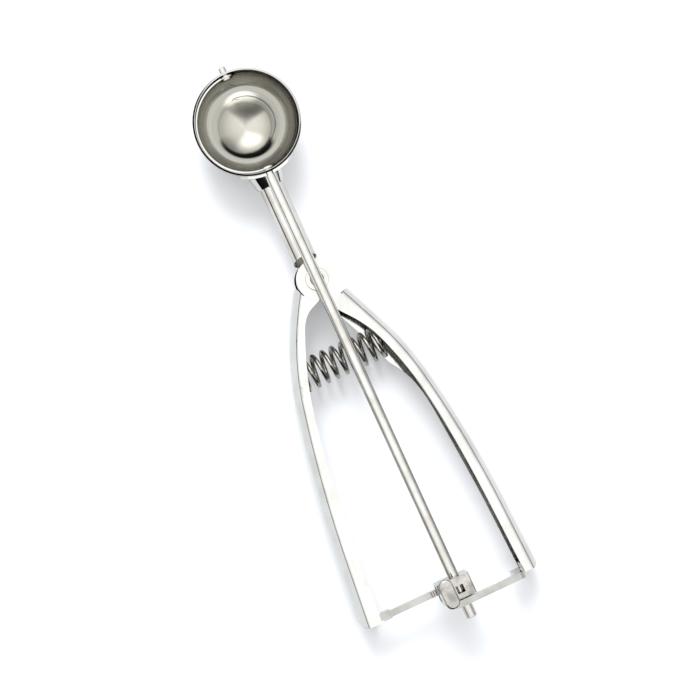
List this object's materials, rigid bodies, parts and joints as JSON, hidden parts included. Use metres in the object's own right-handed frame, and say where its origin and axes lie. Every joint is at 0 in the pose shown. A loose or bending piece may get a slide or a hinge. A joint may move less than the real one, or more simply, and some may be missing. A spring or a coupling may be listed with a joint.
{
  "type": "lever ice cream scoop",
  "caption": "Squeeze-handle scoop whose racks turn a rod and swing a scraper blade round the inside of a ball-shaped bowl.",
  "frame": {"origin": "middle of the overall box in plan, on the plane under the bowl's lowest point", "axes": "+X runs along the rod from the bowl to the handle ends, +Z points out of the bowl's mouth, and +Y is the side of the right handle, whose rack passes in front of the rod"},
  "size_m": [0.2208, 0.0692, 0.0284],
  "materials": {
    "polished_steel": "polished",
    "drawn_steel": "bright drawn",
    "plain_steel": "satin",
    "spring_steel": "bright wire"
  },
  "bodies": {
    "frame": {"bowl": "polished_steel", "far_pivot": "polished_steel", "saddle": "polished_steel", "stem": "drawn_steel", "hinge_eyelet": "polished_steel", "hinge_spacer_front": "plain_steel", "hinge_spacer_back": "plain_steel", "spring": "spring_steel"},
    "rod": {"rod": "drawn_steel", "blade": "polished_steel", "upper_pinion": "plain_steel", "lower_pinion": "plain_steel"},
    "left_handle": {"left_handle": "polished_steel", "left_rack_pin": "plain_steel"},
    "right_handle": {"right_handle": "polished_steel", "right_rack_pin": "plain_steel"},
    "left_rack": {"left_rack": "polished_steel"},
    "right_rack": {"right_rack": "polished_steel"},
    "keeper": {"rack_keeper": "polished_steel"}
  },
  "joints": [
    {"name": "left_squeeze", "type": "hinge", "parent": "frame", "child": "left_handle", "pos_m": [-0.02575, 0.00342, 0.0089], "axis": [0, 0, 1], "range_deg": [0, 4.1], "stiffness_Nm_per_rad": 6, "springref_deg": -8.59, "deforming": ["spring"]},
    {"name": "right_squeeze", "type": "hinge", "parent": "frame", "child": "right_handle", "pos_m": [-0.02575, 0.00342, 0.0089], "axis": [0, 0, -1], "range_deg": [0, 4.1]},
    {"name": "rod_spin", "type": "hinge", "parent": "frame", "child": "rod", "pos_m": [0.00185, 0.00342, 0.0198], "axis": [1, 0, 0], "range_deg": [0, 169.31]},
    {"name": "left_rack_pivot", "type": "hinge", "parent": "left_handle", "child": "left_rack", "pos_m": [0.09705, -0.02878, 0.0118], "axis": [0, 0, -1], "range_deg": [0, 4.1]},
    {"name": "right_rack_pivot", "type": "hinge", "parent": "right_handle", "child": "right_rack", "pos_m": [0.10275, 0.02972, 0.0118], "axis": [0, 0, 1], "range_deg": [0, 4.1]},
    {"name": "keeper_turn", "type": "hinge", "parent": "rod", "child": "keeper", "pos_m": [0.09785, 0.00342, 0.0198], "axis": [-1, 0, 0], "range_deg": [0, 169.31]}
  ],
  "couplings": [
    {"joint": "right_squeeze", "follows": "left_squeeze", "ratio": 0.95782},
    {"joint": "rod_spin", "follows": "left_squeeze", "ratio": 41.282},
    {"joint": "left_rack_pivot", "follows": "left_squeeze", "ratio": 1},
    {"joint": "right_rack_pivot", "follows": "left_squeeze", "ratio": 0.95782},
    {"joint": "keeper_turn", "follows": "left_squeeze", "ratio": 41.282}
  ]
}
